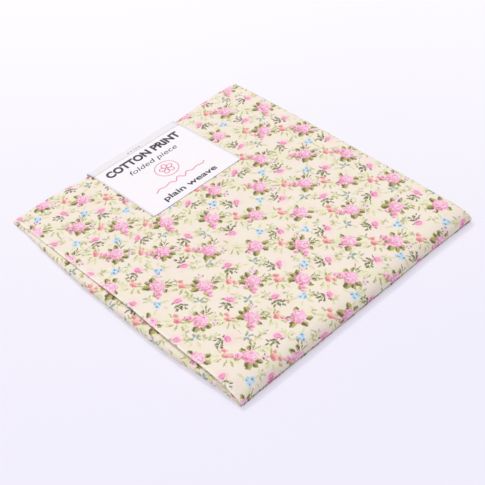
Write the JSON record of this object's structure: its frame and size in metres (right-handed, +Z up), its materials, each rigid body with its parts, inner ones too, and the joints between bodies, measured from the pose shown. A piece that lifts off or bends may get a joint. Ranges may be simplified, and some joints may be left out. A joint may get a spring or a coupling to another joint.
{
  "type": "folded fabric packet",
  "caption": "Flat packet of printed quilting cotton, folded into layers, with a paper label wrapped round one edge.",
  "frame": {"origin": "bottom centre of the bounding box, on the surface the packet lies on", "axes": "+X from the labelled edge to the turned-down edge, +Y from the front bend and raw end to the back bends, +Z up through the layers"},
  "size_m": [0.151, 0.137, 0.0072],
  "materials": {
    "printed_cotton": "matte",
    "label_paper": "matte",
    "label_adhesive": "satin"
  },
  "bodies": {
    "packet": {"bottom_quarter": "printed_cotton", "inner_quarter": "printed_cotton", "upper_quarter": "printed_cotton", "top_quarter": "printed_cotton", "front_bend": "printed_cotton", "back_inner_bend": "printed_cotton", "back_outer_bend": "printed_cotton", "label_spine": "label_paper", "label_back_panel": "label_paper", "label_back_adhesive": "label_adhesive"},
    "label_flap": {"label_front_panel": "label_paper", "label_front_adhesive": "label_adhesive"}
  },
  "joints": [
    {"name": "label_peel", "type": "hinge", "parent": "packet", "child": "label_flap", "pos_m": [-0.06962, 0.0004, 0.00306], "axis": [0, -1, 0], "range_deg": [0, 150]}
  ]
}
